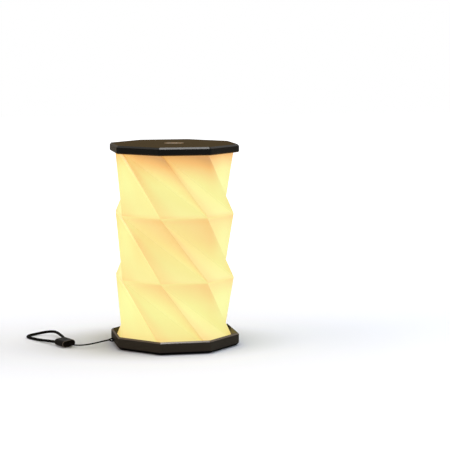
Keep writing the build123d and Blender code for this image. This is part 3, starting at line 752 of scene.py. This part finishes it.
# A pale painted highlight on the rounded edges of the sleeve's two ends, broken up by the rub marks
sleeve_near, sleeve_far = Vector((-0.099, -0.0024, 0.0041)), Vector((-0.105, 0.0146, 0.0036))
sleeve_way = (sleeve_far - sleeve_near).normalized()
half_sleeve = (sleeve_far - sleeve_near).length / 2
highlight_inset, highlight_reach = 0.0003, 0.00025
from_near = add(tree, "ShaderNodeVectorMath", {0: place, 1: sleeve_near}, operation="SUBTRACT")
depth_in = add(tree, "ShaderNodeVectorMath", {0: from_near, 1: sleeve_way}, operation="DOT_PRODUCT")
to_end = add(tree, "ShaderNodeMath", {0: depth_in.outputs["Value"], 1: half_sleeve}, operation="PINGPONG")
rounded_edge = add(tree, "ShaderNodeMath", {0: to_end, 1: highlight_inset, 2: highlight_reach}, operation="COMPARE")
painted_edge_highlight = add(tree, "ShaderNodeMath", {0: rounded_edge, 1: rubs}, operation="MULTIPLY")
tone = add(tree, "ShaderNodeMix", {0: painted_edge_highlight, 6: tone.outputs[2], 7: linear("#8a7f72")}, data_type="RGBA")
tree.links.new(tone.outputs[2], shader.inputs["Base Color"])
tree.links.new(sheen.outputs[0], shader.inputs["Roughness"])
finish_node("strap_sleeve", slider_rubber)


# Floor, light and camera
# A white studio floor, a soft box overhead, two large soft lamps, and a white room around them.
def light_path_white(tree, shown, hidden):
    """A strength: shown to the camera, mirrors and glass, and hidden for what falls on the lamp."""
    path = add(tree, "ShaderNodeLightPath", {})
    seen = path.outputs["Is Camera Ray"]
    for other in ("Is Glossy Ray", "Is Transmission Ray"):
        seen = add(tree, "ShaderNodeMath", {0: seen, 1: path.outputs[other]}, operation="MAXIMUM")
    return add(tree, "ShaderNodeMix", {0: seen, 2: hidden, 3: shown}, data_type="FLOAT")


room_shown, room_light = 1.0, 0.4
room = bpy.data.worlds.new("white_room")
room.use_nodes = True
bpy.context.scene.world = room
backdrop = room.node_tree.nodes["Background"]
backdrop.inputs["Color"].default_value = linear("#ffffff")
room_strength = light_path_white(room.node_tree, room_shown, room_light)
room.node_tree.links.new(room_strength.outputs[0], backdrop.inputs["Strength"])

floor_half = 4.0
floor_mesh = bpy.data.meshes.new("studio_floor")
floor_mesh.from_pydata([(-floor_half, -floor_half, 0), (floor_half, -floor_half, 0),
                        (floor_half, floor_half, 0), (-floor_half, floor_half, 0)], [], [(0, 1, 2, 3)])
floor = bpy.data.objects.new("studio_floor", floor_mesh)
bpy.context.collection.objects.link(floor)
floor_paint, tree, shader = new_finish("floor_paint", Roughness=0.9, Specular_IOR_Level=0.0)
# The floor's faint blue offsets the warm light that the glowing shade throws on it
shader.inputs["Base Color"].default_value = linear("#dfe2ea")
shader.inputs["Emission Color"].default_value = linear("#ffffff")
# The white brightens away from the lamp in three soft, overlapping steps, so that the shadow under it stays
place = add(tree, "ShaderNodeTexCoord", {}).outputs["Object"]
pool_offset, pool_scale = (0.012, -0.0061, 0.0), (0.8, 1.22, 1.0)
pool = add(tree, "ShaderNodeMapping", {"Vector": place, "Location": pool_offset, "Scale": pool_scale})
from_lamp = add(tree, "ShaderNodeVectorMath", {0: pool}, operation="LENGTH").outputs["Value"]
fill = 0.0
for near_end, far_end, lift in ((0.05, 0.125, 0.21), (0.08, 0.24, 0.11), (0.13, 1.2, 0.68)):
    rise = add(tree, "ShaderNodeMapRange", {0: from_lamp, 1: near_end, 2: far_end, 3: 0.0, 4: lift},
               interpolation_type="SMOOTHSTEP")
    fill = add(tree, "ShaderNodeMath", {0: fill, 1: rise}, operation="ADD")
tree.links.new(light_path_white(tree, fill, 0.0).outputs[0], shader.inputs["Emission Strength"])
floor_mesh.materials.append(floor_paint)


lamp_target = (0, 0, 0.1)


def soft_lamp(name, place, size, power, colour):
    """A square soft box that faces the middle of the shade."""
    data = bpy.data.lights.new(name, "AREA")
    data.size, data.energy, data.color = size, power, linear(colour)[:3]
    lamp = bpy.data.objects.new(name, data)
    lamp.location = place
    lamp.rotation_euler = (Vector(lamp_target) - Vector(place)).to_track_quat("-Z", "Y").to_euler()
    bpy.context.collection.objects.link(lamp)


soft_lamp("overhead_box", place=(0.12, -0.17, 1.6), size=0.56, power=9.5, colour="#ffffff")
soft_lamp("left_box", place=(-1.7, -0.3, 0.7), size=1.0, power=9.0, colour="#ffe3c0")
soft_lamp("right_box", place=(1.7, -0.3, 0.7), size=1.0, power=9.0, colour="#e8f1ff")

# The camera stands 1.4 m in front of the lamp, looks down on it a little and turns to its right
lens = bpy.data.cameras.new("camera")
lens.lens = 126.7
lens.sensor_width = 36.0
camera = bpy.data.objects.new("camera", lens)
camera.location = (-0.24916, -1.43391, 0.28794)
down, aside = 6.93, 11.7067
camera.rotation_euler = (radians(90 - down), 0.0, radians(-aside))
bpy.context.collection.objects.link(camera)
bpy.context.scene.camera = camera
bpy.context.scene.view_settings.view_transform = "Standard"
